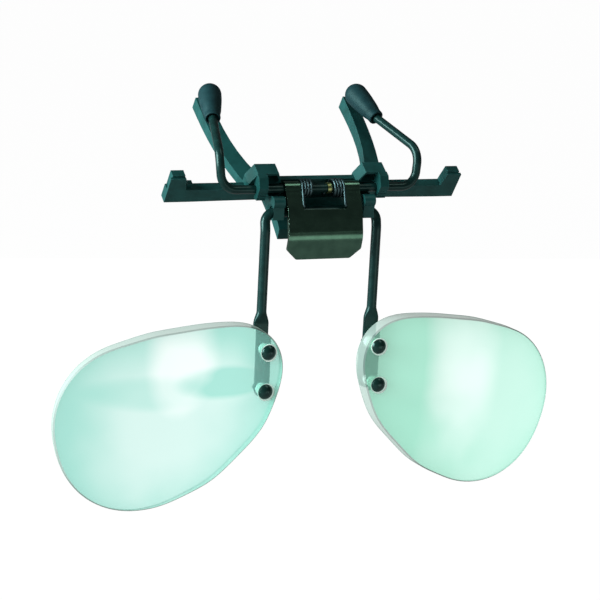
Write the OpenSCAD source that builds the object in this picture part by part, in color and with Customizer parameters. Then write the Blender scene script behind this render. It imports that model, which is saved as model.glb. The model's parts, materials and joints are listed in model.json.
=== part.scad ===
// Clip-on flip-up magnifying loupes.
// X runs across the face, Y points away from the lens fronts, Z points up.
// The origin is the middle of the clamp wire's axle. The lens arms hang straight down (-Z),
// and the clip body is tipped back by clip_tilt about the axle.
// Inside the clip, coordinates are (x, a, b): a runs along the grip arms, b across them.

/* [Clip body] */
// Angle between the hanging lens arms and the clip body, degrees
clip_tilt = 35; // [34:0.5:36]
// Half the length of the cross bar
bar_half = 39.8; // [38:0.1:44]
// Front face of the cross bar, distance from the axle
bar_front = 1.5; // [1.4:0.05:1.6]
// Thickness of the cross bar, front to back
bar_thick = 2.5; // [2.4:0.1:3]
// Lower edge of the cross bar
bar_low = -5.4; // [-5.5:0.05:-5.3]
// Upper edge of the cross bar
bar_high = -1.45; // [-1.6:0.05:-1.4]
// Height of the end hooks above the axle
hook_high = 2.9; // [2.5:0.1:3.5]
// Length of the grip arms, from the axle to their tips
arm_reach = 35.5; // [35:0.5:36.5]
// Thickness of the grip arms
arm_thick = 4.0; // [3.8:0.1:4.2]
// Half the width of the pinch tail
tail_half = 10; // [9:0.25:10.2]

/* [Clamp] */
// Diameter of the clamp wire
clamp_wire_d = 2.2; // [2.1:0.05:2.2]
// Half the width of the pinch lever
lever_half = 10.15; // [9.8:0.05:10.3]
// Thickness of the lever's sheet steel
lever_thick = 0.8; // [0.7:0.05:0.9]
// Half the width of the lever's window
window_half = 6.05; // [6:0.05:6.4]
// Length of the rubber tips
tip_len = 12.9; // [12.5:0.1:14]
// Diameter of the rubber tips at their blunt end
tip_d = 6; // [5:0.1:6]

/* [Springs] */
// Diameter of the torsion springs' wire
spring_wire_d = 0.6; // [0.5:0.05:0.6]
// Mean radius of the spring coils
spring_r = 2.15; // [2:0.05:2.2]
// Full turns in each spring, apart from its legs
spring_turns = 3; // [2:1:3]

/* [Lens carrier] */
// Diameter of the lens wire
lens_wire_d = 2.5; // [2.3:0.05:2.5]
// Distance of each lens arm from the middle
lens_arm_x = 15.25; // [15.2:0.05:15.5]
// Width of the flattened wire ends
paddle_w = 4; // [3.8:0.1:4.4]
// Thickness of the flattened wire ends
paddle_t = 1; // [0.9:0.1:1.2]

/* [Lenses] */
// Distance of each lens centre from the middle
lens_x = 40.8; // [40.5:0.1:44]
// Greatest thickness of a lens
lens_thick = 5.8; // [5.6:0.1:6]
// Radius of the curved lens front
lens_front_r = 180; // [175:5:190]
// Face-form angle of each lens, degrees
lens_wrap = 2.3; // [1:0.1:3]
// Diameter of the dome screw heads
head_d = 3.9; // [3.4:0.1:4]

/* [Hidden] */

body_colour = [0.12, 0.25, 0.25];
wire_colour = [0.07, 0.12, 0.12];
steel_colour = [0.13, 0.24, 0.19];
brass_colour = [0.72, 0.66, 0.35];
spring_colour = [0.42, 0.50, 0.48];
rubber_colour = [0.17, 0.28, 0.32];
lens_colour = [0.68, 0.94, 0.86, 0.6];
nylon_colour = [0.90, 0.95, 0.92];

eps = 0.01;
running_gap = 0.05;             // radial clearance of a wire in its snap
weld_half = 0.03;
weld_proud = 0.004;
clamp_r = clamp_wire_d / 2;
lens_wire_r = lens_wire_d / 2;
spring_wire_r = spring_wire_d / 2;
bar_back = bar_front + bar_thick;
bar_rise = 0.3;                 // how much higher the bar's lower edge lies in the middle
arm_front = -1.3;               // face of the grip arms that looks at the rubber tips

// Clamp wire: corners of its centre line on the right-hand side
bow_x = 26.4;
bow_top = [27.3, 0.4, 9.1];
tip_base = [22.9, 16.8, 15.2];
tip_end = [20.05, 27.56, 21.66];
tip_dir = (tip_end - tip_base) / norm(tip_end - tip_base);
tip_bore_depth = 8;

// Lens wire: cross run and hanging arms
pivot = [0, -1.3, -5.7];
arm_y = -2.2;
arm_knee_z = -9.8;
paddle_top = -31;
paddle_low = -52;
paddle_front = arm_y - paddle_t / 2;
paddle_back = arm_y + paddle_t / 2;

// Screws: [x, z] on the right-hand side, and the spot face they seat on
screw_upper = [15.2, -39.7];
screw_lower = [15.6, -49.7];
spot_face_y = -7.6;
flange_t = 0.35;
flange_r = 2.15;
shank_r = 0.7;
sleeve_r = 1.5;
nut_t = 1.1;

// Lens: centre, optical centre within it, and the circles whose hull is its outline
lens_y = -2.4;
lens_z = -54.2;
optic = [-9, 4];
lens_circles = [[6.6, -3.9, 20.9], [-0.15, -0.75, 20.9], [8.3, -2, 19.7], [-19, 10.5, 11.2],
                [-10.8, 4.5, 17], [7.85, -5.9, 19]];

// ---------- helpers ----------

module both_sides() {
    children();
    mirror([1, 0, 0]) children();
}

module in_clip() {
    rotate([clip_tilt, 0, 0]) children();
}

// Extrudes a (y, z) outline along X
module side_profile(x0, x1) {
    translate([x0, 0, 0]) rotate([90, 0, 90]) linear_extrude(x1 - x0) children();
}

// Extrudes an (x, z) outline along Y
module front_profile(y0, y1) {
    translate([0, y1, 0]) rotate([90, 0, 0]) linear_extrude(y1 - y0) children();
}

module rod(p, q, r) {
    d = q - p;
    len = norm(d);
    translate(p) rotate([0, acos(d.z / len), atan2(d.y, d.x)]) cylinder(r = r, h = len, $fn = 48);
}

function unit(v) = v / norm(v);
function turn(u, v) = acos(u * v);
function setback(u, v, r) = r * tan(turn(u, v) / 2);

// Quarter-torus style elbow at corner c, from direction u to direction v
module elbow(c, u, v, bend_r, r) {
    n = unit(v - u * (u * v));
    start = c - u * setback(u, v, bend_r);
    w = cross(u, n);
    o = start + n * bend_r;
    multmatrix([[-n.x, u.x, w.x, o.x],
                [-n.y, u.y, w.y, o.y],
                [-n.z, u.z, w.z, o.z],
                [0, 0, 0, 1]])
        rotate_extrude(angle = turn(u, v), $fn = 96) translate([bend_r, 0]) circle(r = r, $fn = 48);
}

// Faint ring that joins a straight run to its elbow
module weld(p, d, r) {
    rod(p - d * weld_half, p + d * weld_half, r + weld_proud);
}

// Round wire along corner points, with a bend radius at each inner corner
module bent_wire(points, bends, r) {
    last = len(points) - 1;
    dirs = [for (i = [0:last - 1]) unit(points[i + 1] - points[i])];
    for (i = [0:last - 1]) {
        from = i == 0 ? 0 : setback(dirs[i - 1], dirs[i], bends[i - 1]);
        to = i == last - 1 ? 0 : setback(dirs[i], dirs[i + 1], bends[i]);
        p = points[i] + dirs[i] * from;
        q = points[i + 1] - dirs[i] * to;
        rod(p, q, r);
        if (from > 0) weld(p, dirs[i], r);
        if (to > 0) weld(q, dirs[i], r);
    }
    for (i = [1:last - 1])
        elbow(points[i], dirs[i - 1], dirs[i], bends[i - 1], r);
}

// ---------- clip body ----------

module cross_bar() {
    hook_root = bar_half - 5.6;
    front_profile(bar_front, bar_back)
        polygon([[-bar_half, bar_low], [-hook_root, bar_low], [-14, bar_low + bar_rise],
                 [14, bar_low + bar_rise], [hook_root, bar_low], [bar_half, bar_low],
                 [bar_half, bar_high], [-bar_half, bar_high]]);
}

// Upright hook at each end of the bar: a face plate and a slimmer block behind it
module end_hook() {
    step = 0.5;
    plate_t = 0.7;
    root_x = bar_half - 5.6;
    top_x = bar_half - 4;
    front_profile(bar_front, bar_front + plate_t)
        polygon([[root_x, bar_low], [bar_half, bar_low], [bar_half, hook_high - step],
                 [top_x, hook_high - step]]);
    front_profile(bar_front + plate_t, bar_back + 0.2)
        polygon([[root_x + step, bar_low], [bar_half - step, bar_low],
                 [bar_half - step, hook_high], [top_x + 0.2, hook_high]]);
}

// Raised middle of the bar, behind the lever's knuckles and the springs
module centre_wall() {
    foot = bar_low + bar_rise;
    translate([-10.8, 2.65, foot]) cube([21.6, bar_back - 2.65, 0.55 - foot]);
}

// Snap that holds the clamp wire's axle: a chamfered block with a hexagonal pocket and a hook
module axle_snap() {
    difference() {
        union() {
            front_profile(1.2, 4.75)
                polygon([[10.4, bar_high - 1], [10.4, 0.7], [11.9, 4.1], [17.5, 4.1],
                         [19.1, 0.7], [19.1, bar_high - 1]]);
            side_profile(15.3, 17.7)
                polygon([[1.3, 4.1], [-0.2, 4.1], [-2.3, 2.3], [-2.45, -1.5], [-1.3, -1.9],
                         [1.3, -1.9]]);
        }
        // pocket
        front_profile(1, 3.7)
            polygon([[11.3, 1.9], [12.2, 3.5], [14.6, 3.5], [15.3, 2.6], [15.3, 1.3],
                     [14.8, 0.8], [11.6, 0.8]]);
        // seat for the axle, and the way in from below
        translate([15.3 - 1, 0, 0]) rotate([0, 90, 0])
            cylinder(r = clamp_r + running_gap, h = 5, $fn = 64);
        translate([15.3 - 1, -0.9, -4]) cube([5, 1.8, 4]);
        // grip ribs on the hook's face
        for (rib = [0:2])
            translate([15, -2.75, -1.1 + rib * 0.9]) cube([4, 0.5, 0.35]);
    }
}

// Snap that holds the lens wire: an ear with a rolled brow and a slot from below
module lens_wire_snap() {
    difference() {
        side_profile(10.9, 13.9)
            difference() {
                union() {
                    polygon([[2.06, -0.4], [4.33, -3.56], [-1.2, -7.3], [-3.3, -7.3], [-3.3, -3],
                             [-1.4, -1.75], [0.6, -1.6]]);
                    translate([-2.4, -2.95]) circle(r = 1.55, $fn = 48);
                }
                translate([pivot.y, pivot.z]) circle(r = lens_wire_r + running_gap, $fn = 64);
                translate([pivot.y, pivot.z]) rotate([0, 0, clip_tilt])
                    translate([-1.05, -4]) square([2.1, 4]);
            }
        // relief round the wire's bend, flared at the outer face
        translate([12.9, pivot.y, pivot.z]) rotate([0, 90, 0])
            cylinder(r = lens_wire_r + 0.45, h = 2, $fn = 64);
        translate([13.45, pivot.y, pivot.z]) rotate([0, 90, 0])
            cylinder(r1 = lens_wire_r + 0.44, r2 = lens_wire_r + 1.24, h = 0.6, $fn = 64);
    }
}

// Curved arm that lies on one side of the spectacle lens
function arm_curve(a) = pow((arm_reach - a) / (arm_reach - 4), 2.75);

module grip_arm() {
    root = 2.4;
    along = [for (i = [0:8]) root + (arm_reach - root) * i / 8];
    inner = [for (a = along) [19.05 - 5.15 * arm_curve(a), a]];
    outer = [for (i = [8:-1:0]) [22.6 - 3.6 * arm_curve(along[i]), along[i]]];
    difference() {
        translate([0, 0, arm_front - arm_thick - 1])
            linear_extrude(arm_thick + 2) polygon(concat(inner, outer));
        // face towards the tips, turned slightly outwards
        translate([18.5, 0, arm_front]) rotate([0, 8, 0])
            translate([-12, -5, 0]) cube([24, 50, 8]);
        // back face: the arm thins towards its root
        translate([0, arm_reach, arm_front - arm_thick]) rotate([-3, 0, 0])
            translate([10, -45, -8]) cube([16, 50, 8]);
    }
}

// Tail that the finger presses against, opposite the lever
module pinch_tail() {
    side_profile(-tail_half, tail_half)
        polygon([[bar_back, bar_low + 0.5], [bar_back, -8.4], [1.3, -11], [-5.7, -12.1],
                 [-4.9, -9.3], [-2.7, -8.65], [bar_front, -7.8], [bar_front, bar_low + 0.5]]);
}

module clip_body() {
    color(body_colour) {
        in_clip() {
            difference() {
                cross_bar();
                // room for the lever's knuckles and the springs
                translate([-10.4, bar_front - 1, bar_low - 1])
                    cube([20.8, 1 + 2.65 - bar_front, 10]);
            }
            centre_wall();
            pinch_tail();
            // small nib at the inner corner of the left hook
            translate([5.2 - bar_half, bar_back - 1.4, bar_low])
                cube([1.4, 1.4, bar_high + 1.1 - bar_low]);
            both_sides() {
                end_hook();
                axle_snap();
                grip_arm();
            }
        }
        both_sides() lens_wire_snap();
    }
}

// ---------- clamp ----------

module clamp_wire() {
    gripped = tip_base + tip_dir * tip_bore_depth;
    half = [[bow_x, 0, 0], bow_top, tip_base, gripped];
    left = [for (i = [3:-1:0]) [-half[i].x, half[i].y, half[i].z]];
    color(wire_colour)
        bent_wire(concat(left, half), [7.5, 5, 4.2, 4.2, 5, 7.5], clamp_r);
}

// Outline of the lever's outer face in (y, z), from the knuckle down
lever_face = [[-1.95, -0.2], [-4.15, -4.9], [-5.1, -9.6], [-5.3, -11], [-5.25, -11.9],
              [-4.95, -13.2], [-3.9, -17.3]];

module pinch_lever() {
    knuckle_r = clamp_r + lever_thick;
    back = [for (i = [len(lever_face) - 1:-1:0]) lever_face[i] + [lever_thick, 0]];
    color(steel_colour)
        difference() {
            side_profile(-lever_half, lever_half)
                difference() {
                    union() {
                        circle(r = knuckle_r, $fn = 64);
                        polygon(concat(lever_face, back));
                        polygon([[-1.95, 0], [-1.95, -0.2], [-1.15, -0.2], [0, -1.9], [0, 0]]);
                    }
                    circle(r = clamp_r, $fn = 64);
                }
            translate([-window_half, -8, -4.65]) cube([2 * window_half, 16, 12]);
            // clipped lower corners
            both_sides()
                front_profile(-10, 0)
                    polygon([[lever_half, -14.8], [lever_half + 1, -14.8], [lever_half + 1, -18],
                             [lever_half - 3.5, -18], [lever_half - 2.8, -17.35]]);
        }
}

module axle_collar() {
    color(brass_colour)
        translate([1.7, 0, 0]) rotate([0, 90, 0])
            difference() {
                cylinder(r = clamp_r + 0.3, h = 1, $fn = 48);
                translate([0, 0, -1]) cylinder(r = clamp_r, h = 3, $fn = 48);
            }
}

// Rubber cap on the end of the clamp wire, drawn along +Z from its mouth
module rubber_tip() {
    tip_r = tip_d / 2;
    mouth_r = 2.05;
    shoulder = tip_len - tip_r;
    translate(tip_base) rotate([0, acos(tip_dir.z), atan2(tip_dir.y, tip_dir.x)])
        rotate_extrude($fn = 64)
            difference() {
                union() {
                    polygon([[0, 0], [mouth_r, 0], [mouth_r, 1.6], [mouth_r + 0.25, 3],
                             [tip_r - 0.12, shoulder - 2.5], [tip_r, shoulder], [0, shoulder]]);
                    intersection() {
                        translate([0, shoulder]) circle(r = tip_r, $fn = 64);
                        translate([0, shoulder - eps]) square([tip_r + 1, tip_r + 1]);
                    }
                }
                translate([-1, -1]) square([1 + clamp_r, 1 + tip_bore_depth]);
                translate([-1, -1]) square([1 + clamp_r + 0.45, 1.9]);
                translate([-5, -1]) square([5, tip_len + 2]);
            }
}

// ---------- springs ----------

// Tube round a list of centre points, with square-cut ends
module swept_tube(path, r, sides = 8) {
    n = len(path);
    dirs = [for (i = [0:n - 1]) unit(path[min(i + 1, n - 1)] - path[max(i - 1, 0)])];
    across = [for (d = dirs) unit(cross(d, [1, 0, 0.013]))];
    up = [for (i = [0:n - 1]) cross(dirs[i], across[i])];
    points = [for (i = [0:n - 1]) for (k = [0:sides - 1])
              path[i] + r * (cos(360 * k / sides) * across[i] + sin(360 * k / sides) * up[i])];
    walls = [for (i = [0:n - 2]) for (k = [0:sides - 1]) let (m = (k + 1) % sides)
             [i * sides + k, (i + 1) * sides + k, (i + 1) * sides + m, i * sides + m]];
    ends = [[for (k = [0:sides - 1]) k], [for (k = [sides - 1:-1:0]) (n - 1) * sides + k]];
    polyhedron(points = points, faces = concat(walls, ends), convexity = 6);
}

function coil_point(x, t) = [x, spring_r * cos(t), spring_r * sin(t)];

// Right-hand spring: a leg down the body wall, the coil, a leg into the corner of the lever's window
module torsion_spring() {
    in_x = 3;
    out_x = 5.7;
    in_angle = clip_tilt;
    out_angle = 162.3 + 360 * spring_turns;
    in_leg = 4.6;
    out_leg = 5.05;
    steps = 26 * spring_turns;
    coil = [for (i = [0:steps])
            coil_point(in_x + (out_x - in_x) * i / steps,
                       in_angle + (out_angle - in_angle) * i / steps)];
    inner_end = coil[0] + in_leg * [0, sin(in_angle), -cos(in_angle)];
    outer_end = coil[steps] + out_leg * [0, -sin(out_angle), cos(out_angle)];
    color(spring_colour)
        swept_tube(concat([inner_end], coil, [outer_end]), spring_wire_r);
}

// ---------- lens carrier ----------

module paddle() {
    slack = 0.02;
    straight_top = paddle_top - 2.5;
    straight_low = paddle_low + paddle_w / 2;
    front_profile(paddle_front, paddle_back) {
        translate([lens_arm_x, straight_low]) circle(d = paddle_w, $fn = 64);
        translate([lens_arm_x - paddle_w / 2, straight_low]) square([paddle_w, straight_top - straight_low]);
    }
    // pressed transition from round to flat
    hull() {
        translate([lens_arm_x, arm_y, paddle_top + 0.6]) cylinder(r = lens_wire_r - slack, h = 0.1, $fn = 32);
        translate([lens_arm_x, arm_y, straight_top - 0.1])
            cube([paddle_w - slack, paddle_t - slack, 0.1], center = true);
    }
}

module screw_hole(spot, r) {
    translate([spot[0], 20, spot[1]]) rotate([90, 0, 0]) cylinder(r = r, h = 40, $fn = 48);
}

module lens_wire() {
    half = [[lens_arm_x, pivot.y, pivot.z], [lens_arm_x, arm_y, arm_knee_z],
            [lens_arm_x, arm_y, paddle_top + 0.5]];
    left = [for (i = [2:-1:0]) [-half[i].x, half[i].y, half[i].z]];
    color(wire_colour) {
        bent_wire(concat(left, half), [6, 2.6, 2.6, 6], lens_wire_r);
        both_sides()
            difference() {
                paddle();
                screw_hole(screw_upper, shank_r + running_gap);
                screw_hole(screw_lower, shank_r + running_gap);
            }
    }
}

module lens_outline() {
    hull()
        for (c = lens_circles)
            translate([c[0], c[1]]) circle(r = c[2], $fn = 96);
}

// Right-hand lens: flat back, spherical front, thicker towards the nose
module lens() {
    color(lens_colour)
        difference() {
            translate([lens_x, lens_y, lens_z]) rotate([0, 0, lens_wrap])
                intersection() {
                    rotate([90, 0, 0]) linear_extrude(8) lens_outline();
                    translate([optic[0], lens_front_r - lens_thick, optic[1]])
                        sphere(r = lens_front_r, $fn = 180);
                }
            for (spot = [screw_upper, screw_lower]) {
                screw_hole(spot, sleeve_r + running_gap);
                translate([spot[0], spot_face_y, spot[1]]) rotate([90, 0, 0])
                    cylinder(r = flange_r + 0.1, h = 3, $fn = 48);
            }
        }
}

// Top-hat bush through the lens, down to the flattened wire
module bush(spot) {
    color(nylon_colour)
        translate([spot[0], paddle_front, spot[1]]) rotate([90, 0, 0])
            difference() {
                union() {
                    cylinder(r = sleeve_r, h = paddle_front - spot_face_y, $fn = 48);
                    translate([0, 0, paddle_front - spot_face_y])
                        cylinder(r = flange_r, h = flange_t, $fn = 48);
                }
                translate([0, 0, -1]) cylinder(r = shank_r + running_gap, h = 12, $fn = 48);
            }
}

module screw(spot) {
    head_r = head_d / 2;
    head_h = 1.15;
    dome_r = (head_r * head_r + head_h * head_h) / (2 * head_h);
    head_y = spot_face_y - flange_t;
    color(wire_colour)
        translate([spot[0], head_y, spot[1]]) rotate([90, 0, 0]) {
            rotate_extrude($fn = 64)
                intersection() {
                    translate([0, head_h - dome_r]) circle(r = dome_r, $fn = 96);
                    square([head_r + 1, head_h + 1]);
                }
            translate([0, 0, head_y - paddle_back - nut_t - 0.3])
                cylinder(r = shank_r, h = paddle_back + nut_t + 0.3 - head_y + 0.2, $fn = 48);
        }
}

module nut(spot) {
    color(steel_colour)
        translate([spot[0], paddle_back + nut_t, spot[1]]) rotate([90, 0, 0])
            difference() {
                cylinder(d = 3.3, h = nut_t, $fn = 6);
                translate([0, 0, -1]) cylinder(r = shank_r + 0.01, h = 4, $fn = 48);
            }
}

clip_body();
clamp_wire();
pinch_lever();
axle_collar();
mirror([1, 0, 0]) torsion_spring();  // torsion_spring_left
torsion_spring();  // torsion_spring_right
mirror([1, 0, 0]) color(rubber_colour) rubber_tip();  // rubber_tip_left
color(rubber_colour) rubber_tip();  // rubber_tip_right
lens_wire();
mirror([1, 0, 0]) lens();  // lens_left
lens();  // lens_right
mirror([1, 0, 0]) screw(screw_upper);  // screw_left_upper
mirror([1, 0, 0]) screw(screw_lower);  // screw_left_lower
screw(screw_upper);  // screw_right_upper
screw(screw_lower);  // screw_right_lower
mirror([1, 0, 0]) bush(screw_upper);  // bush_left_upper
mirror([1, 0, 0]) bush(screw_lower);  // bush_left_lower
bush(screw_upper);  // bush_right_upper
bush(screw_lower);  // bush_right_lower
mirror([1, 0, 0]) nut(screw_upper);  // nut_left_upper
mirror([1, 0, 0]) nut(screw_lower);  // nut_left_lower
nut(screw_upper);  // nut_right_upper
nut(screw_lower);  // nut_right_lower
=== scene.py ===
"""Studio scene of the clip-on flip-up magnifying loupes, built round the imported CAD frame."""
import json
import math

import bmesh
import bpy
import numpy as np
from mathutils import Matrix, Vector


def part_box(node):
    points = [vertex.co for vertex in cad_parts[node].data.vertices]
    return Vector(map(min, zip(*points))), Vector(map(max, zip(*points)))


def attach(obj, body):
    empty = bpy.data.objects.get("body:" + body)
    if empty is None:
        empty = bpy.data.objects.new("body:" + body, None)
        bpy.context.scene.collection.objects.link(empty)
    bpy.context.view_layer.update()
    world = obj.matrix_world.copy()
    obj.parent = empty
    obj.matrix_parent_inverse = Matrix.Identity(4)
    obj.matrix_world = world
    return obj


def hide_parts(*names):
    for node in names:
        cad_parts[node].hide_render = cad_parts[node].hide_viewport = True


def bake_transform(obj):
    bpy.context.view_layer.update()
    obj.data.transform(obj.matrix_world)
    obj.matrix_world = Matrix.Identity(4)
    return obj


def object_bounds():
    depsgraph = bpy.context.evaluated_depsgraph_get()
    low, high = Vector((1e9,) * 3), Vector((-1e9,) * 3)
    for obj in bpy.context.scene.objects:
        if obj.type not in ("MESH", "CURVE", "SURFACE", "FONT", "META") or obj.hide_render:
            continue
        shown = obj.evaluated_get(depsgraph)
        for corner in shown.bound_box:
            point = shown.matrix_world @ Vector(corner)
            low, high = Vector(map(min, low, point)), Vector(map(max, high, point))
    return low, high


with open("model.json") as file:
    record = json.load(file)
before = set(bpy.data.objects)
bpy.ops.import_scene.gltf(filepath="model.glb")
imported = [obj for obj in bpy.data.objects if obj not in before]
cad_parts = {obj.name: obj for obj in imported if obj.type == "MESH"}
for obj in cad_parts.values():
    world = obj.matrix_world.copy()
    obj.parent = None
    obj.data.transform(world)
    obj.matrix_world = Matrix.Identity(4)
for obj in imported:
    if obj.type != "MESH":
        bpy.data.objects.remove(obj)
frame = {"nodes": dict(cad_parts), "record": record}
cad_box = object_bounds()
NODES = frame["nodes"]
MM = 0.001


# ---------- measures from the frame ----------

def size_of(node):
    """Box sides of a CAD node in millimetres."""
    low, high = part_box(node)
    return (high - low) / MM


def top_of(node):
    """Highest corner of a CAD node in millimetres."""
    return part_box(node)[1] / MM


# ---------- mesh helpers ----------

def new_object(name, verts, faces, smooth=True):
    """A mesh object from vertices in millimetres."""
    mesh = bpy.data.meshes.new(name)
    mesh.from_pydata([tuple(float(c) * MM for c in v) for v in verts], [], faces)
    mesh.validate()
    bm = bmesh.new()
    bm.from_mesh(mesh)
    bmesh.ops.recalc_face_normals(bm, faces=bm.faces)
    bm.to_mesh(mesh)
    bm.free()
    for polygon in mesh.polygons:
        polygon.use_smooth = smooth
    obj = bpy.data.objects.new(name, mesh)
    bpy.context.scene.collection.objects.link(obj)
    return obj


def sharpen(obj, degrees):
    """Keeps edges steeper than this angle crisp under smooth shading."""
    for polygon in obj.data.polygons:
        polygon.use_smooth = True
    obj.data.set_sharp_from_angle(angle=math.radians(degrees))
    return obj


def paint(obj, *materials):
    obj.data.materials.clear()
    for material in materials:
        obj.data.materials.append(material)
    return obj


def round_edges(obj, width, angle):
    """Rounds the edges that turn by more than an angle, with a modifier."""
    edge = obj.modifiers.new("edges", "BEVEL")
    edge.width = width * MM
    edge.segments = 2
    edge.limit_method = "ANGLE"
    edge.angle_limit = math.radians(angle)
    edge.harden_normals = True
    return obj


def soften(obj, width):
    """Rounds the edges of a CAD node without touching its own mesh."""
    planar = obj.modifiers.new("planar", "DECIMATE")
    planar.decimate_type = "DISSOLVE"
    planar.angle_limit = math.radians(0.6)
    return round_edges(obj, width, 35)


def apply_modifiers(obj):
    depsgraph = bpy.context.evaluated_depsgraph_get()
    mesh = bpy.data.meshes.new_from_object(obj.evaluated_get(depsgraph))
    obj.modifiers.clear()
    obj.data = mesh


def bent_path(corners, bends, arc_step=5.0, line_step=1.5):
    """Centre points and tangents of a wire through corners, rounded with a bend radius at each."""
    corners = [Vector(c) for c in corners]
    dirs = [(b - a).normalized() for a, b in zip(corners, corners[1:])]
    points, tangents = [corners[0]], [dirs[0]]

    def run_to(end, direction):
        start = points[-1]
        steps = max(2, int((end - start).length / line_step))
        for k in range(1, steps + 1):
            points.append(start.lerp(end, k / steps))
            tangents.append(direction)

    for radius, corner, u, v in zip(bends, corners[1:], dirs, dirs[1:]):
        angle = u.angle(v)
        start = corner - u * radius * math.tan(angle / 2)
        inward = (v - u * u.dot(v)).normalized()
        centre = start + inward * radius
        run_to(start, u)
        steps = max(2, int(math.degrees(angle) / arc_step))
        for k in range(1, steps + 1):
            t = angle * k / steps
            points.append(centre - inward * radius * math.cos(t) + u * radius * math.sin(t))
            tangents.append((u * math.cos(t) + inward * math.sin(t)).normalized())
    run_to(corners[-1], dirs[-1])
    return points, tangents


def carried_frames(tangents, across):
    """Rotation-minimising (across, up) pairs along a path."""
    frames = []
    for t in tangents:
        across = (across - t * across.dot(t)).normalized()
        frames.append((across, t.cross(across)))
    return frames


def oval(half_wide, half_thick, power, sides):
    """Superellipse section: round wire at power 2, flattened strip at higher powers."""
    ring = []
    for k in range(sides):
        a = 2 * math.pi * k / sides
        c, s = math.cos(a), math.sin(a)
        ring.append((half_wide * math.copysign(abs(c) ** (2 / power), c),
                     half_thick * math.copysign(abs(s) ** (2 / power), s)))
    return ring


def sweep(name, points, tangents, across, sections):
    """Closed tube with one section for each path point, capped with fans."""
    frames = carried_frames(tangents, Vector(across))
    sides = len(sections[0])
    verts, faces = [], []
    for p, (a, b), ring in zip(points, frames, sections):
        verts += [p + a * x + b * y for x, y in ring]
    for i in range(len(points) - 1):
        for k in range(sides):
            m = (k + 1) % sides
            faces.append((i * sides + k, i * sides + m, (i + 1) * sides + m, (i + 1) * sides + k))
    for base, centre in ((0, points[0]), ((len(points) - 1) * sides, points[-1])):
        tip = len(verts)
        verts.append(centre)
        faces += [(base + k, base + (k + 1) % sides, tip) for k in range(sides)]
    return new_object(name, verts, faces)


def lathe(name, base, axis, profile, sides=96):
    """Turned solid: profile is (distance along axis, radius), closed on the axis at both ends."""
    axis = Vector(axis).normalized()
    across = axis.cross(Vector((0, 0, 1))).normalized()
    up = axis.cross(across)
    verts, faces, rings = [], [], []
    for along, radius in profile:
        centre = Vector(base) + axis * along
        if radius < 1e-6:
            rings.append([len(verts)])
            verts.append(centre)
        else:
            rings.append(list(range(len(verts), len(verts) + sides)))
            verts += [centre + (across * math.cos(2 * math.pi * k / sides)
                                + up * math.sin(2 * math.pi * k / sides)) * radius for k in range(sides)]
    for low, high in zip(rings, rings[1:]):
        for k in range(sides):
            m = (k + 1) % sides
            if len(low) == 1:
                faces.append((low[0], high[k], high[m]))
            elif len(high) == 1:
                faces.append((low[k], low[m], high[0]))
            else:
                faces.append((low[k], low[m], high[m], high[k]))
    return new_object(name, verts, faces)


def smooth_line(points, per_span=6):
    """Catmull-Rom curve through (x, y) points."""
    out = []
    pts = [points[0]] + list(points) + [points[-1]]
    for i in range(1, len(pts) - 2):
        p0, p1, p2, p3 = (np.array(pts[j], float) for j in (i - 1, i, i + 1, i + 2))
        for k in range(per_span):
            t = k / per_span
            out.append(tuple(0.5 * (2 * p1 + (p2 - p0) * t + (2 * p0 - 5 * p1 + 4 * p2 - p3) * t ** 2
                                    + (3 * p1 - p0 - 3 * p2 + p3) * t ** 3)))
    out.append(tuple(points[-1]))
    return out


def mirrored(points):
    return [(-p[0], p[1], p[2]) for p in points]


# ---------- materials ----------

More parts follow.
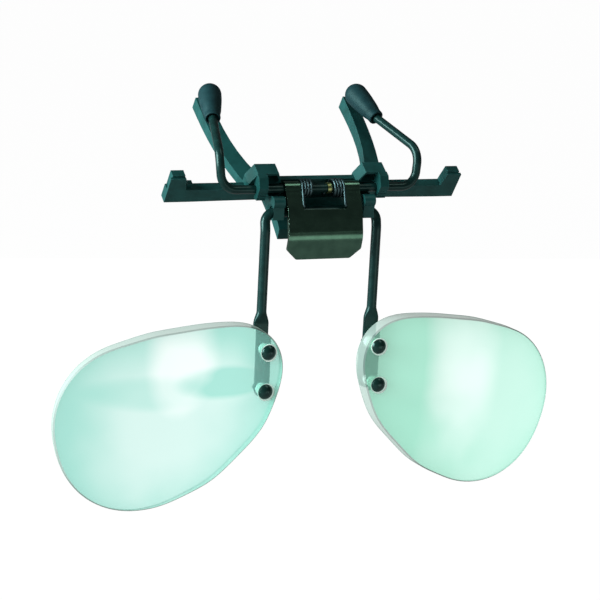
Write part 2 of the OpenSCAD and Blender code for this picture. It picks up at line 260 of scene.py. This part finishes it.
class Graph:
    """Small wrapper that keeps node code short."""

    def __init__(self, name):
        self.material = bpy.data.materials.new(name)
        self.material.use_nodes = True
        self.tree = self.material.node_tree
        self.tree.nodes.clear()
        self.out = self.add("ShaderNodeOutputMaterial")
        coords = self.add("ShaderNodeTexCoord")
        scale = self.add("ShaderNodeMapping")
        scale.inputs["Scale"].default_value = (1000, 1000, 1000)
        self.link(coords.outputs["Object"], scale.inputs["Vector"])
        self.mm = scale.outputs["Vector"]

    def add(self, kind, **values):
        node = self.tree.nodes.new(kind)
        for key, value in values.items():
            if key in node.inputs:
                node.inputs[key].default_value = value
            else:
                setattr(node, key, value)
        return node

    def link(self, a, b):
        self.tree.links.new(a, b)

    def noise(self, scale, detail=2.0, rough=0.5, vector=None):
        node = self.add("ShaderNodeTexNoise", Scale=scale, Detail=detail, Roughness=rough)
        self.link(vector or self.mm, node.inputs["Vector"])
        return node.outputs["Fac"]

    def ramp(self, value, low, high, a=0.0, b=1.0):
        node = self.add("ShaderNodeMapRange")
        node.inputs["From Min"].default_value = low
        node.inputs["From Max"].default_value = high
        node.inputs["To Min"].default_value = a
        node.inputs["To Max"].default_value = b
        self.link(value, node.inputs["Value"])
        return node.outputs["Result"]

    def mix(self, fac, a, b):
        node = self.add("ShaderNodeMix", data_type="RGBA")
        for socket, value in ((node.inputs[0], fac), (node.inputs[6], a), (node.inputs[7], b)):
            if isinstance(value, (int, float)):
                socket.default_value = value
            elif isinstance(value, tuple):
                socket.default_value = (*value, 1.0)
            else:
                self.link(value, socket)
        return node.outputs[2]

    def math(self, kind, a, b, clamp=False):
        node = self.add("ShaderNodeMath", operation=kind, use_clamp=clamp)
        for socket, value in zip(node.inputs, (a, b)):
            if isinstance(value, (int, float)):
                socket.default_value = value
            else:
                self.link(value, socket)
        return node.outputs[0]

    def blend(self, fac, a, b):
        """Mix of two shaders."""
        node = self.add("ShaderNodeMixShader")
        if isinstance(fac, float):
            node.inputs[0].default_value = fac
        else:
            self.link(fac, node.inputs[0])
        self.link(a.outputs[0], node.inputs[1])
        self.link(b.outputs[0], node.inputs[2])
        return node

    def bump(self, height, strength, distance):
        node = self.add("ShaderNodeBump", Strength=strength, Distance=distance * MM)
        self.link(height, node.inputs["Height"])
        return node.outputs["Normal"]

    def edges(self, radius, low=0.02, high=0.25):
        """1 near convex or concave edges, 0 on flats; the mask behind the painted edge highlights."""
        soft = self.add("ShaderNodeBevel", samples=4, Radius=radius * MM)
        geometry = self.add("ShaderNodeNewGeometry")
        dot = self.add("ShaderNodeVectorMath", operation="DOT_PRODUCT")
        self.link(soft.outputs["Normal"], dot.inputs[0])
        self.link(geometry.outputs["Normal"], dot.inputs[1])
        return self.ramp(dot.outputs["Value"], 1 - low, 1 - high)

    def principled(self, **values):
        node = self.add("ShaderNodeBsdfPrincipled")
        for key, value in values.items():
            socket = node.inputs[key.replace("_", " ")]
            if isinstance(value, bpy.types.NodeSocket):
                self.link(value, socket)
            elif isinstance(value, tuple):
                socket.default_value = (*value, 1.0)
            else:
                socket.default_value = value
        return node

    def finish(self, shader):
        self.link(shader.outputs[0], self.out.inputs["Surface"])
        return self.material


TEAL_SHINE = (0.62, 1.0, 0.95)


def moulded_plastic():
    g = Graph("clip_plastic")
    cloud = g.noise(0.35, 3)
    grain = g.noise(7.0, 4, 0.6)
    colour = g.mix(g.ramp(cloud, 0.3, 0.7), (0.009, 0.070, 0.066), (0.015, 0.105, 0.101))
    # painted highlight: lighter teal on the convex and concave edges
    colour = g.mix(g.edges(0.18), colour, (0.06, 0.19, 0.19))
    rough = g.ramp(grain, 0.3, 0.7, 0.34, 0.46)
    normal = g.bump(grain, 0.35, 0.03)
    return g.finish(g.principled(Base_Color=colour, Roughness=rough, Normal=normal,
                                 Specular_IOR_Level=0.38, Specular_Tint=TEAL_SHINE))


def coated_wire():
    g = Graph("black_wire")
    cloud = g.noise(0.6, 3)
    grain = g.noise(14.0, 2, 0.6)
    colour = g.mix(g.ramp(cloud, 0.35, 0.65), (0.006, 0.028, 0.026), (0.010, 0.044, 0.041))
    rough = g.ramp(grain, 0.3, 0.7, 0.22, 0.28)
    normal = g.bump(g.noise(1.3, 2), 0.05, 0.02)
    return g.finish(g.principled(Base_Color=colour, Roughness=rough, Normal=normal,
                                 Specular_IOR_Level=0.40, Specular_Tint=TEAL_SHINE))


def lever_steel():
    g = Graph("lever_steel")
    cloud = g.noise(0.4, 3)
    stretched = g.add("ShaderNodeMapping")
    stretched.inputs["Scale"].default_value = (0.6, 9.0, 9.0)
    g.link(g.mm, stretched.inputs["Vector"])
    drawn = g.noise(1.4, 3, 0.55, stretched.outputs["Vector"])
    colour = g.mix(g.ramp(cloud, 0.3, 0.7), (0.085, 0.180, 0.130), (0.118, 0.240, 0.172))
    # painted highlight: pale lines along the sheet's edges
    colour = g.mix(g.edges(0.16, 0.03, 0.3), colour, (0.30, 0.46, 0.38))
    rough = g.ramp(drawn, 0.3, 0.7, 0.17, 0.24)
    normal = g.bump(drawn, 0.05, 0.01)
    return g.finish(g.principled(Base_Color=colour, Roughness=rough, Normal=normal,
                                 Metallic=1.0))


def spring_wire():
    g = Graph("spring_steel")
    drawn = g.noise(6.0, 3)
    colour = g.mix(drawn, (0.07, 0.12, 0.13), (0.16, 0.25, 0.27))
    return g.finish(g.principled(Base_Color=colour, Metallic=1.0,
                                 Roughness=g.ramp(drawn, 0.3, 0.7, 0.3, 0.42)))


def brass():
    g = Graph("brass")
    turned = g.noise(7.0, 3)
    colour = g.mix(turned, (0.32, 0.36, 0.14), (0.50, 0.54, 0.25))
    return g.finish(g.principled(Base_Color=colour, Metallic=1.0,
                                 Roughness=g.ramp(turned, 0.3, 0.7, 0.22, 0.4)))


def rubber():
    g = Graph("rubber")
    cloud = g.noise(0.5, 4)
    grain = g.noise(11.0, 4, 0.65)
    colour = g.mix(g.ramp(cloud, 0.3, 0.7), (0.008, 0.034, 0.041), (0.014, 0.052, 0.060))
    normal = g.bump(grain, 0.5, 0.03)
    return g.finish(g.principled(Base_Color=colour, Roughness=g.ramp(grain, 0.3, 0.7, 0.45, 0.62),
                                 Specular_IOR_Level=0.28, Specular_Tint=TEAL_SHINE, Normal=normal))


def black_screw():
    g = Graph("black_screw")
    grain = g.noise(9.0, 3)
    colour = g.mix(grain, (0.005, 0.026, 0.022), (0.010, 0.040, 0.034))
    return g.finish(g.principled(Base_Color=colour, Roughness=g.ramp(grain, 0.3, 0.7, 0.16, 0.26),
                                 Specular_IOR_Level=0.7, Specular_Tint=TEAL_SHINE))


def nylon():
    g = Graph("nylon")
    cloud = g.noise(1.2, 2)
    colour = g.mix(cloud, (0.72, 0.92, 0.86), (0.82, 0.97, 0.93))
    # the emission is painted light: it makes the bushes glow pale
    return g.finish(g.principled(Base_Color=colour, Roughness=0.3,
                                 Emission_Color=(0.75, 0.95, 0.86), Emission_Strength=0.32))


def soft_spot(g, centre, size, lean):
    """Smooth 0-1 blob in the lens plane at (x, z) mm, stretched by size and leaning with height."""
    split = g.add("ShaderNodeSeparateXYZ")
    g.link(g.mm, split.inputs["Vector"])
    across = g.math("SUBTRACT", split.outputs["X"], centre[0])
    up = g.math("SUBTRACT", split.outputs["Z"], centre[1])
    across = g.math("ADD", g.math("MULTIPLY", up, lean), across)
    across = g.math("DIVIDE", across, size[0])
    up = g.math("DIVIDE", up, size[1])
    reach = g.math("ADD", g.math("MULTIPLY", across, across), g.math("MULTIPLY", up, up))
    wobble = g.ramp(g.noise(0.05, 2), 0.25, 0.75, -0.22, 0.22)
    spot = g.ramp(g.math("ADD", reach, wobble), 1.0, 0.0)
    spot.node.interpolation_type = "SMOOTHSTEP"
    return spot


def lens_glass(name, look):
    """Tinted optical glass with a pale mint bloom on its front, and broad window reflections and darker
    streaks painted into its colours.
    """
    g = Graph(name)
    # painted reflections: soft spots push the glass colours towards white; painted shade: other spots
    # take some of that whitening back as darker streaks
    painted_sheen = 0.0
    for centre, size, lean, amount in look["painted_reflections"]:
        spot = g.math("MULTIPLY", soft_spot(g, centre, size, lean), amount)
        painted_sheen = g.math("ADD", painted_sheen, spot, clamp=True)
    for centre, size, lean, amount in look["painted_shades"]:
        spot = g.math("MULTIPLY", soft_spot(g, centre, size, lean), amount)
        painted_sheen = g.math("SUBTRACT", painted_sheen, spot, clamp=True)
    # front face: refraction under a translucent bloom and a faint gloss
    enter = g.add("ShaderNodeBsdfRefraction", IOR=1.5, Roughness=0.0)
    g.link(g.mix(painted_sheen, look["tint"], (0.83, 0.92, 0.89)), enter.inputs["Color"])
    bloom = g.add("ShaderNodeBsdfTranslucent")
    g.link(g.mix(painted_sheen, look["bloom"], (0.80, 0.87, 0.85)), bloom.inputs["Color"])
    gloss = g.add("ShaderNodeBsdfGlossy", Roughness=0.08)
    fresnel = g.add("ShaderNodeFresnel", IOR=1.4)
    front = g.blend(fresnel.outputs[0], g.blend(look["haze"], enter, bloom), gloss)
    # back face: clear refraction on the way out
    leave = g.add("ShaderNodeBsdfRefraction", IOR=1.5, Roughness=0.0)
    geometry = g.add("ShaderNodeNewGeometry")
    solid = g.blend(geometry.outputs["Backfacing"], front, leave)
    # shadow and diffuse rays pass straight through
    path = g.add("ShaderNodeLightPath")
    passing = g.math("ADD", path.outputs["Is Shadow Ray"], path.outputs["Is Diffuse Ray"], clamp=True)
    return g.finish(g.blend(passing, solid, g.add("ShaderNodeBsdfTransparent")))


def lens_rim(name, dark, light, painted_glow):
    """Fine-ground edge of the lens: milky and greyish, with a painted glow from its emission."""
    g = Graph(name)
    ground = g.noise(12.0, 4, 0.6)
    body = g.principled(Base_Color=g.mix(ground, dark, light), Roughness=0.4, Emission_Color=light,
                        Emission_Strength=painted_glow, Normal=g.bump(ground, 0.3, 0.01))
    through = g.add("ShaderNodeBsdfTransparent")
    through.inputs["Color"].default_value = (0.90, 0.93, 0.90, 1)
    path = g.add("ShaderNodeLightPath")
    opaque = g.ramp(path.outputs["Is Shadow Ray"], 0.0, 1.0, 0.75, 0.1)
    return g.finish(g.blend(opaque, through, body))


PLASTIC = moulded_plastic()
WIRE = coated_wire()
LEVER = lever_steel()
SPRING = spring_wire()
BRASS = brass()
RUBBER = rubber()
SCREW = black_screw()
NYLON = nylon()
# the last value is the strength of each edge band's painted glow
RIM = lens_rim("lens_rim", (0.34, 0.44, 0.40), (0.46, 0.56, 0.51), 0.26)
EDGE = lens_rim("lens_edge", (0.22, 0.31, 0.28), (0.30, 0.41, 0.37), 0.12)


# ---------- wires ----------

PIVOT = next(Vector(joint["pos_m"]) / MM for joint in frame["record"]["behaviour"]["joints"]
             if joint["name"] == "lens_flip")
COLLAR_WALL = 0.3
CLAMP_R = round(size_of("axle_collar").z / 2, 2) - COLLAR_WALL
LENS_WIRE_R = round(top_of("lens_wire").z, 2) - PIVOT.z
PADDLE_HALF = 2.0
PADDLE_T = 1.0
ARM_X = round(top_of("lens_wire").x, 2) - PADDLE_HALF
ARM_Y = -2.2
ARM_KNEE = -9.8
# heights where a lens arm starts to flatten, where it is flat, and where it ends
PRESS_TOP, PRESS_LOW = -30.4, -33.6
PADDLE_LOW = round(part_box("lens_wire")[0].z / MM, 2)
# clamp wire: corners of its bow on the right-hand side, and the blunt end of its rubber tip
BOW = [(26.4, 0, 0), (27.3, 0.4, 9.1), (22.9, 16.8, 15.2)]
TIP_END = Vector((20.05, 27.56, 21.66))
TIP_BASE = Vector(BOW[2])
TIP_DIR = (TIP_END - TIP_BASE).normalized()
TIP_GRIP = 8.0


def build_clamp_wire():
    """Round wire: along the axle, then up both sides of the bow into the rubber tips."""
    bends = [4.2, 5.0, 7.5]
    half = BOW + [tuple(TIP_BASE + TIP_DIR * TIP_GRIP)]
    corners = mirrored(half[::-1]) + half
    points, tangents = bent_path(corners, bends[::-1] + bends)
    ring = oval(CLAMP_R, CLAMP_R, power=2, sides=40)
    obj = sweep("clamp_wire_bent", points, tangents, (0, 0, 1), [ring] * len(points))
    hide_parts("clamp_wire")
    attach(paint(obj, WIRE), "clamp")


def paddle_section(z):
    """Section of a lens arm at height z: round, pressed flat towards its rounded end."""
    rounded_from = PADDLE_LOW + PADDLE_HALF
    t = min(1.0, max(0.0, (PRESS_TOP - z) / (PRESS_TOP - PRESS_LOW)))
    t = t * t * (3 - 2 * t)
    wide = LENS_WIRE_R + (PADDLE_HALF - LENS_WIRE_R) * t
    thick = LENS_WIRE_R + (PADDLE_T / 2 - LENS_WIRE_R) * t
    if z < rounded_from:
        wide *= math.sqrt(max(1e-4, 1 - ((rounded_from - z) / PADDLE_HALF) ** 2))
    return oval(wide, thick, power=2 + 3.5 * t, sides=48)


def build_lens_wire():
    """Round wire: along the pivot, down both lens arms, pressed into a paddle behind each lens."""
    straight_end, flat_from, flat_step = -30.0, -34.0, 2.0
    bends = [2.6, 6.0]
    half = [(ARM_X, PIVOT.y, PIVOT.z), (ARM_X, ARM_Y, ARM_KNEE), (ARM_X, ARM_Y, straight_end)]
    corners = mirrored(half[::-1]) + half
    points, tangents = bent_path(corners, bends[::-1] + bends)
    pressed = [PRESS_TOP + (PRESS_LOW - PRESS_TOP) * k / 8 for k in range(9)]
    flat = [flat_from - flat_step * k for k in range(8)]
    rounded = [PADDLE_LOW + PADDLE_HALF * (1 - math.sin(math.pi / 2 * k / 8)) for k in range(9)]
    rounded[-1] += 0.001
    tail = [Vector((ARM_X, ARM_Y, z)) for z in pressed + flat + rounded]
    down = Vector((0, 0, -1))
    points = [Vector((-p.x, p.y, p.z)) for p in tail[::-1]] + points + tail
    tangents = [-down] * len(tail) + tangents + [down] * len(tail)
    sections = [paddle_section(p.z) for p in points]
    obj = sweep("lens_wire_bent", points, tangents, (1, 0, 0), sections)
    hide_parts("lens_wire")
    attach(paint(obj, WIRE), "lens_carrier")


build_clamp_wire()
build_lens_wire()


# ---------- pinch lever ----------

def along_path(points, distance):
    """Point at a distance along a polyline."""
    for p, q in zip(points, points[1:]):
        step = (q - p).length
        if distance <= step or q is points[-1]:
            return p.lerp(q, distance / step)
        distance -= step


def folded_sheet(name, outline, points, thickness):
    """Sheet metal: a flat (x, s) outline wrapped along a (y, z) path and given a thickness."""
    stations = [0.0]
    for p, q in zip(points, points[1:]):
        stations.append(stations[-1] + (q - p).length)
    bm = bmesh.new()
    bm.faces.new([bm.verts.new((x, s, 0)) for x, s in outline])
    for station in stations[1:-1]:
        geometry = bm.verts[:] + bm.edges[:] + bm.faces[:]
        bmesh.ops.bisect_plane(bm, geom=geometry, dist=1e-4,
                               plane_co=(0, station, 0), plane_no=(0, 1, 0))
    bm.verts.index_update()
    mid = [(a + b) / 2 for a, b in zip(stations, stations[1:])]
    turns = [(q - p).normalized() for p, q in zip(points, points[1:])]
    outer, inner = [], []
    for vert in bm.verts:
        x, s = vert.co.x, vert.co.y
        place = along_path(points, s)
        ty = float(np.interp(s, mid, [t.x for t in turns]))
        tz = float(np.interp(s, mid, [t.y for t in turns]))
        size = math.hypot(ty, tz)
        outer.append((x, place.x, place.y))
        inner.append((x, place.x - tz / size * thickness, place.y + ty / size * thickness))
    shift = len(outer)
    faces = []
    for face in bm.faces:
        ring = [v.index for v in face.verts]
        faces += [ring, [i + shift for i in ring[::-1]]]
    for edge in bm.edges:
        if len(edge.link_faces) == 1:
            a, b = (v.index for v in edge.verts)
            faces.append([a, b, b + shift, a + shift])
    bm.free()
    return new_object(name, outer + inner, faces)


def build_lever():
    """Pressed lever: rolled over the axle, down its blade, with a window and clipped lower corners."""
    half = size_of("pinch_lever").x / 2
    thick = 0.8
    roll = CLAMP_R + thick
    window, sill_z, corner = 6.05, -4.65, 0.55
    clip_z, clip_x = -14.8, 3.0
    turn_from, turn_to, turn_steps = -125.0, 176.0, 47
    points = []
    for k in range(turn_steps + 1):
        a = math.radians(turn_from + (turn_to - turn_from) * k / turn_steps)
        points.append(Vector((roll * math.cos(a), roll * math.sin(a))))
    blade = [tuple(points[-1]), (-2.03, -0.45), (-2.55, -1.5), (-4.1, -4.9), (-5.05, -9.3),
             (-5.25, -10.5), (-5.32, -11.4), (-5.25, -12.3), (-4.95, -13.5), (-3.9, -17.3)]
    points += [Vector(p) for p in smooth_line(blade, 8)[1:]]

    def at_height(z):
        """Distance along the path to where the blade passes a height, or to its end."""
        total = 0.0
        for i, (p, q) in enumerate(zip(points, points[1:])):
            if i > turn_steps + 3 and p.y >= z > q.y:
                return total + (q - p).length * (p.y - z) / (p.y - q.y)
            total += (q - p).length
        return total

    sill, clip, low = at_height(sill_z), at_height(clip_z), at_height(-math.inf)
    bend = [(window - corner * (1 - math.cos(a)), sill - corner * (1 - math.sin(a)))
            for a in [math.pi / 2 * k / 6 for k in range(7)]]
    clipped = [(half - clip_x, low), (half - clip_x + 0.4, low - 0.15), (half - 0.1, clip + 0.1),
               (half, clip - 0.25)]
    right = [(half, 0), (window, 0)] + bend
    left = [(-x, s) for x, s in right[::-1]]
    foot = [(-x, s) for x, s in clipped[::-1]] + clipped
    obj = folded_sheet("lever_folded", right + left + foot, points, thick)
    sharpen(obj, 35)
    round_edges(obj, 0.1, 50)
    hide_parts("pinch_lever")
    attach(paint(obj, LEVER), "clamp")


build_lever()


# ---------- rubber tips ----------

def build_tip(side):
    """Turned rubber cap with a rolled mouth and a blunt domed end."""
    length, radius = 12.9, 3.0
    shoulder = length - radius
    bore_r = CLAMP_R - 0.05
    bore = [(TIP_GRIP, 0.0), (TIP_GRIP, bore_r)]
    lip = [(0.9, bore_r), (0.9, 1.42), (0.35, 1.5), (0.12, 1.58), (0.0, 1.72), (0.0, 1.82),
           (0.08, 1.94)]
    outer = smooth_line([(0.28, 2.02), (1.7, 2.06), (3.2, 2.38), (shoulder - 2.6, 2.86),
                         (shoulder, radius)], 7)
    dome = [(shoulder + radius * math.sin(a), radius * math.cos(a))
            for a in [math.pi / 2 * k / 16 for k in range(1, 17)]]
    profile = bore + lip + outer + dome
    profile[-1] = (length, 0.0)
    base, axis = TIP_BASE.copy(), TIP_DIR.copy()
    if side == "left":
        base.x, axis.x = -base.x, -axis.x
    obj = lathe(f"tip_{side}_cap", base, axis, profile)
    sharpen(obj, 40)
    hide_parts(f"rubber_tip_{side}")
    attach(paint(obj, RUBBER), "clamp")


for side in ("left", "right"):
    build_tip(side)


# ---------- springs ----------

def build_spring(side):
    """Torsion spring: a leg on the body wall, the coil, a leg into a corner of the lever's window."""
    sign = 1 if side == "right" else -1
    in_x, out_x, radius, wire = 3.0, 5.7, 2.15, 0.3
    start, end = 35.0, 162.3 + 3 * 360.0
    leg_in, leg_out, leg_steps = 4.6, 5.05, 8
    steps = 150

    def at(x, degrees):
        a = math.radians(degrees)
        return Vector((sign * x, radius * math.cos(a), radius * math.sin(a)))

    coil = [at(in_x + (out_x - in_x) * k / steps, start + (end - start) * k / steps)
            for k in range(steps + 1)]
    a, b = math.radians(start), math.radians(end)
    inward = Vector((0, math.sin(a), -math.cos(a)))
    outward = Vector((0, -math.sin(b), math.cos(b)))
    points = [coil[0] + inward * leg_in * (1 - k / leg_steps) for k in range(leg_steps)]
    points += coil
    points += [coil[-1] + outward * leg_out * k / leg_steps for k in range(1, leg_steps + 1)]
    steps_along = [(q - p).normalized() for p, q in zip(points, points[1:])]
    between = [(p + q).normalized() for p, q in zip(steps_along, steps_along[1:])]
    tangents = steps_along[:1] + between + steps_along[-1:]
    ring = oval(wire, wire, power=2, sides=16)
    obj = sweep(f"coil_{side}", points, tangents, (1, 0, 0), [ring] * len(points))
    paint(obj, SPRING)
    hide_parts(f"torsion_spring_{side}")
    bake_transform(obj)


for side in ("left", "right"):
    build_spring(side)


# ---------- lenses ----------

# the lens's own frame, its face-form angle, and the front surface it is ground to
LENS_C = Vector((40.8, -2.4, -54.2))
WRAP = 2.3
OPTIC = (-9.0, 4.0)
FRONT_R = 180.0
THICK = 5.8
CLEAR, GROUND, BROKEN = 0, 1, 2


def hull(points):
    """Convex hull of (x, y) points, counter-clockwise."""
    points = sorted(set(points))

    def half(seq):
        chain = []
        for p in seq:
            while len(chain) > 1 and ((chain[-1][0] - chain[-2][0]) * (p[1] - chain[-2][1])
                                      - (chain[-1][1] - chain[-2][1]) * (p[0] - chain[-2][0])) <= 0:
                chain.pop()
            chain.append(p)
        return chain[:-1]

    return half(points) + half(points[::-1])


def lens_outline(count):
    """Distance from the lens centre to its rim in each direction, read from the CAD lens."""
    turn = Matrix.Rotation(-math.radians(WRAP), 3, "Z")
    flat = []
    for vertex in NODES["lens_right"].data.vertices:
        p = turn @ (vertex.co / MM - LENS_C)
        flat.append((round(p.x, 4), round(p.z, 4)))
    ring = hull(flat)
    radii = []
    for k in range(count):
        a = 2 * math.pi * k / count
        d = (math.cos(a), math.sin(a))
        best = 0.0
        for (x0, y0), (x1, y1) in zip(ring, ring[1:] + ring[:1]):
            cross = d[0] * (y1 - y0) - d[1] * (x1 - x0)
            if abs(cross) < 1e-12:
                continue
            t = (x0 * (y1 - y0) - y0 * (x1 - x0)) / cross
            s = (x0 * d[1] - y0 * d[0]) / cross
            if t > 0 and -1e-6 <= s <= 1 + 1e-6:
                best = max(best, t)
        radii.append(best)
    # smoothed round the rim, which takes the facets of the CAD mesh out of it
    radii = np.array(radii)
    spread = 4
    reach = 3 * spread
    kernel = np.exp(-0.5 * (np.arange(-reach, reach + 1) / spread) ** 2)
    kernel /= kernel.sum()
    padded = np.concatenate([radii[-reach:], radii, radii[:reach]])
    return np.convolve(padded, kernel, mode="valid")


def front_y(x, z):
    """Depth of the front surface at a place in the lens's own frame."""
    rho2 = (x - OPTIC[0]) ** 2 + (z - OPTIC[1]) ** 2
    return -THICK + FRONT_R - math.sqrt(FRONT_R ** 2 - rho2)


def drill(obj, bush):
    """Cuts the bush's bore and the pocket for its flange out of a lens."""
    low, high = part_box(bush)
    centre, front = (low + high) / (2 * MM), low.y / MM
    behind, ahead, flange_t, bore_r, clearance = 1.0, 4.0, 0.35, 1.55, 0.1
    pocket_r = size_of(bush).x / 2 + clearance
    floor_at = behind - (front + flange_t)
    profile = [(0, 0), (0, bore_r), (floor_at, bore_r), (floor_at, pocket_r),
               (floor_at + ahead, pocket_r), (floor_at + ahead, 0)]
    start = (centre.x, behind, centre.z)
    cutter = lathe(f"{obj.name}_cut", start, (0, -1, 0), profile, sides=48)
    paint(cutter, RIM, RIM)
    for polygon in cutter.data.polygons:
        polygon.material_index = GROUND
    cut = obj.modifiers.new("cut", "BOOLEAN")
    cut.operation, cut.object, cut.solver = "DIFFERENCE", cutter, "EXACT"
    bpy.context.view_layer.update()
    apply_modifiers(obj)
    bpy.data.objects.remove(cutter)


def build_lens(side, look):
    """Plano-convex lens: rings of points from the front's middle over the rim to the back's middle."""
    sign = 1 if side == "right" else -1
    count = 240
    radii = lens_outline(count)
    fractions = [0.12, 0.26, 0.40, 0.54, 0.68, 0.80, 0.90, 0.96]
    front_chamfer, back_chamfer, thinnest = 0.35, 0.25, 0.2

    def flat(x, z):
        return 0.0

    rings = [(radii * f, front_y) for f in fractions]
    rings.append((radii - front_chamfer, front_y))
    chamfers = [len(rings) - 1]
    rings.append((radii, lambda x, z: front_y(x, z) + front_chamfer))
    rings.append((radii, lambda x, z: min(-thinnest, front_y(x, z) / 2)))
    rings.append((radii, lambda x, z: -back_chamfer))
    chamfers.append(len(rings) - 1)
    rings.append((radii - back_chamfer, flat))
    rings += [(radii * f, flat) for f in fractions[::-1]]

    verts = [(0, front_y(0, 0), 0)]
    for values, depth in rings:
        for k, r in enumerate(values):
            a = 2 * math.pi * k / count
            x, z = r * math.cos(a), r * math.sin(a)
            verts.append((x, depth(x, z), z))
    back_tip = len(verts)
    verts.append((0, 0, 0))
    faces, kinds = [], []
    for i in range(len(rings) - 1):
        kind = BROKEN if i in chamfers else GROUND if chamfers[0] < i < chamfers[1] else CLEAR
        for k in range(count):
            m = (k + 1) % count
            low, high = 1 + i * count, 1 + (i + 1) * count
            faces.append((low + k, low + m, high + m, high + k))
            kinds.append(kind)
    last = 1 + (len(rings) - 1) * count
    for k in range(count):
        m = (k + 1) % count
        faces += [(1 + m, 1 + k, 0), (last + k, last + m, back_tip)]
        kinds += [CLEAR, CLEAR]

    turn = Matrix.Rotation(math.radians(WRAP), 3, "Z")
    placed = [turn @ Vector(v) + LENS_C for v in verts]
    obj = new_object(f"lens_{side}_ground", [(sign * p.x, p.y, p.z) for p in placed], faces)
    paint(obj, lens_glass(f"lens_glass_{side}", look), RIM, EDGE)
    for polygon, kind in zip(obj.data.polygons, kinds):
        polygon.material_index = kind
    for level in ("upper", "lower"):
        drill(obj, f"bush_{side}_{level}")
    sharpen(obj, 25)
    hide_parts(f"lens_{side}")
    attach(obj, "lens_carrier")


# each lens's sheen spots are painted reflections and its shade spots are painted shade
build_lens("left", {
    "haze": 0.40, "bloom": (0.29, 0.64, 0.57), "tint": (0.42, 0.72, 0.63),
    "painted_reflections": [((-38, -38), (10, 18), 0.0, 0.66), ((-40, -57), (28, 27), 0.0, 0.58)],
    "painted_shades": [((-28, -46.6), (13, 4.6), 0.0, 0.66), ((-46, -48.5), (19, 5), 0.0, 0.30)]})
# haze, bloom and tint differ from the left lens's: a painted difference in the light falling on the two
# lenses
build_lens("right", {
    "haze": 0.58, "bloom": (0.325, 0.66, 0.53), "tint": (0.39, 0.69, 0.54),
    "painted_reflections": [((39.5, -42), (13, 34), 0.05, 0.46), ((52, -59), (30, 30), 0.0, 0.34)],
    "painted_shades": [((22, -50), (10, 30), 0.0, 0.10)]})


# ---------- CAD nodes that stay ----------

soften(paint(NODES["clip_body"], PLASTIC), 0.16)
soften(paint(NODES["axle_collar"], BRASS), 0.06)
for place in ("left_upper", "left_lower", "right_upper", "right_lower"):
    sharpen(paint(NODES[f"screw_{place}"], SCREW), 40)
    sharpen(paint(NODES[f"bush_{place}"], NYLON), 40)
    soften(paint(NODES[f"nut_{place}"], SCREW), 0.1)


# ---------- studio ----------

def area_light(name, place, target, size, power, colour=(1, 1, 1)):
    data = bpy.data.lights.new(name, "AREA")
    data.shape = "RECTANGLE"
    data.size, data.size_y = size
    data.energy = power
    data.color = colour
    light = bpy.data.objects.new(name, data)
    bpy.context.scene.collection.objects.link(light)
    light.location = place
    aim = Vector(target) - Vector(place)
    light.rotation_euler = aim.to_track_quat("-Z", "Y").to_euler()
    return light


def seen_directly(tree, bright, dim):
    """Value that is bright for the camera, also through the lenses, and dim for everything else."""
    path = tree.nodes.new("ShaderNodeLightPath")
    seen = tree.nodes.new("ShaderNodeMath")
    seen.operation, seen.use_clamp = "ADD", True
    tree.links.new(path.outputs["Is Camera Ray"], seen.inputs[0])
    tree.links.new(path.outputs["Is Transmission Ray"], seen.inputs[1])
    pick = tree.nodes.new("ShaderNodeMapRange")
    pick.inputs["To Min"].default_value = dim
    pick.inputs["To Max"].default_value = bright
    tree.links.new(seen.outputs[0], pick.inputs["Value"])
    return pick.outputs["Result"]


def build_floor():
    reach, drop = 6000, 0.07
    corners = [(-reach, -reach, 0), (reach, -reach, 0), (reach, reach, 0), (-reach, reach, 0)]
    floor = new_object("floor", corners, [(0, 1, 2, 3)], smooth=False)
    floor.location.z = cad_box[0].z - drop
    g = Graph("floor")
    body = g.principled(Base_Color=(0.04, 0.04, 0.04), Roughness=0.9, Specular_IOR_Level=0.1,
                        Emission_Color=(1.0, 1.0, 1.0))
    g.link(seen_directly(g.tree, 0.98, 0.25), body.inputs["Emission Strength"])
    paint(floor, g.finish(body))


def build_world():
    world = bpy.data.worlds.new("studio")
    bpy.context.scene.world = world
    world.use_nodes = True
    tree = world.node_tree
    tree.nodes.clear()
    out = tree.nodes.new("ShaderNodeOutputWorld")
    background = tree.nodes.new("ShaderNodeBackground")
    background.inputs["Color"].default_value = (0.97, 1.0, 1.0, 1)
    tree.links.new(seen_directly(tree, 1.0, 0.06), background.inputs["Strength"])
    tree.links.new(background.outputs[0], out.inputs["Surface"])


def build_camera():
    """Camera left of the object and above it, looking right, down and slightly rolled."""
    place = (-0.2098, -0.45185, 0.07992)
    yaw, down, roll = (math.radians(angle) for angle in (24.5, 12.32, 3.01))
    data = bpy.data.cameras.new("camera")
    data.sensor_width = 36
    data.lens = 120.9
    data.clip_start, data.clip_end = 0.01, 50
    camera = bpy.data.objects.new("camera", data)
    bpy.context.scene.collection.objects.link(camera)
    turn = (Matrix.Rotation(-yaw, 4, "Z") @ Matrix.Rotation(math.pi / 2 - down, 4, "X")
            @ Matrix.Rotation(roll, 4, "Z"))
    camera.matrix_world = Matrix.Translation(place) @ turn
    bpy.context.scene.camera = camera


build_floor()
build_world()
build_camera()
area_light("left", (-0.56, 0.04, 0.14), (0, 0, -0.02), (0.42, 0.42), 7.0, (0.84, 1.0, 1.0))
area_light("overhead", (0.243, -0.176, 0.520), (0, 0, -0.01), (0.16, 0.30), 0.26, (0.97, 1.0, 0.92))
area_light("front_strip", (0.142, -0.32, -0.100), (0, 0, -0.01), (0.25, 0.13), 0.09, (0.95, 1.0, 0.92))
back = area_light("back", (0.10, 0.60, 0.05), (0, 0, -0.05), (0.9, 0.5), 2.6)
back.visible_camera = False
back.visible_glossy = False
back.visible_transmission = False
bpy.context.scene.view_settings.view_transform = "Standard"
